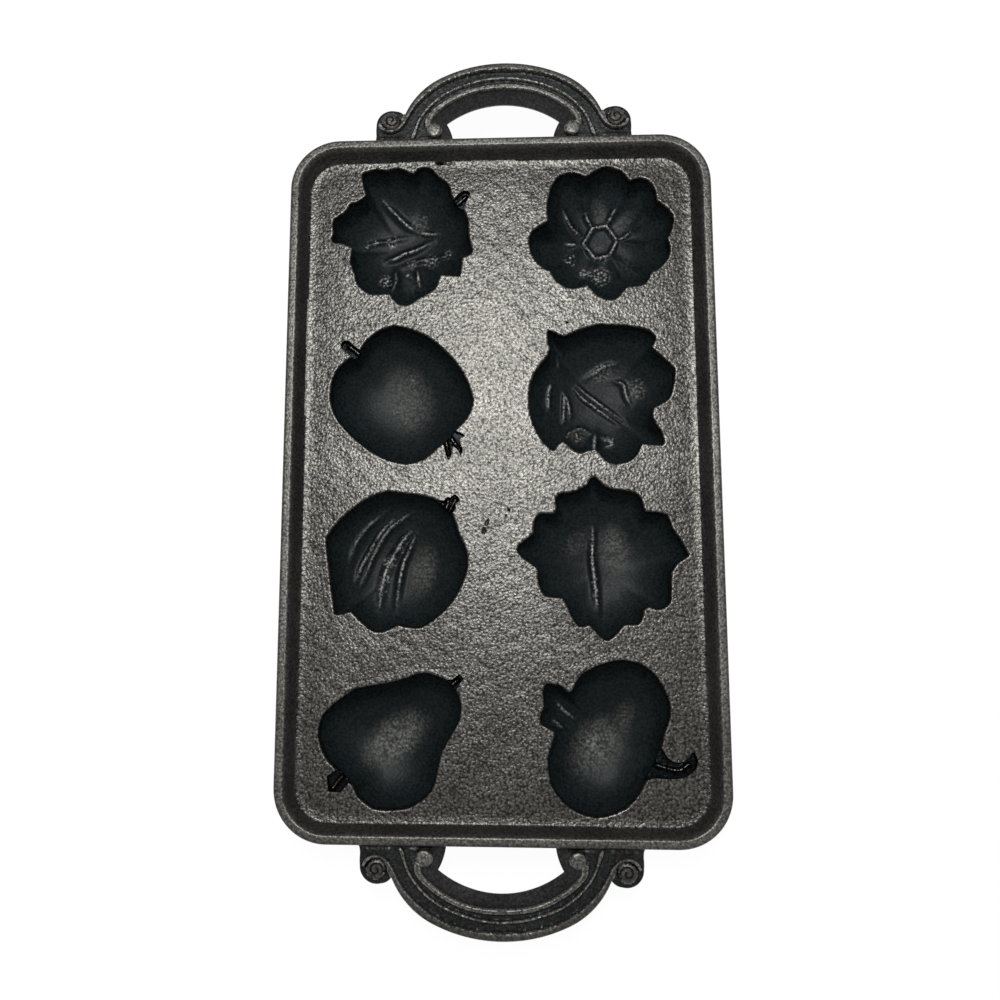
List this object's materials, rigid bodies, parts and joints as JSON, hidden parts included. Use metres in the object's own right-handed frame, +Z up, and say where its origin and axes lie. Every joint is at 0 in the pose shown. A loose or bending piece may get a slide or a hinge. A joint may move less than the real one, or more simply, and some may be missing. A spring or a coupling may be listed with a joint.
{
  "type": "fruit cornbread pan",
  "caption": "Cast-iron baking pan with fruit-shaped cups sunk in a rimmed tray and an arched, scrolled handle at each end.",
  "frame": {"origin": "middle of the pan on the surface that its cups stand on", "axes": "+Y along the pan to its far handle, +X to the right across it, +Z up out of the cups"},
  "size_m": [0.2098, 0.425, 0.035],
  "materials": {
    "deck_iron": "seasoned, fine sand-cast grain",
    "worn_iron": "seasoned, worn brighter along the edges",
    "cup_iron": "dark seasoning, slightly glossy"
  },
  "bodies": {
    "root": {"tray_plate": "deck_iron", "tray_rim": "worn_iron", "cup_leaf_and_nuts": "cup_iron", "cup_pumpkin": "cup_iron", "cup_apple": "cup_iron", "cup_leaves_and_cherries": "cup_iron", "cup_ribbed_gourd": "cup_iron", "cup_star_leaf": "cup_iron", "cup_pear": "cup_iron", "cup_curled_gourd": "cup_iron", "handle_far": "deck_iron", "handle_near": "deck_iron", "scroll_far_left": "worn_iron", "scroll_far_right": "worn_iron", "scroll_near_left": "worn_iron", "scroll_near_right": "worn_iron", "button_far_left": "worn_iron", "button_far_right": "worn_iron", "button_near_left": "worn_iron", "button_near_right": "worn_iron"}
  },
  "joints": []
}
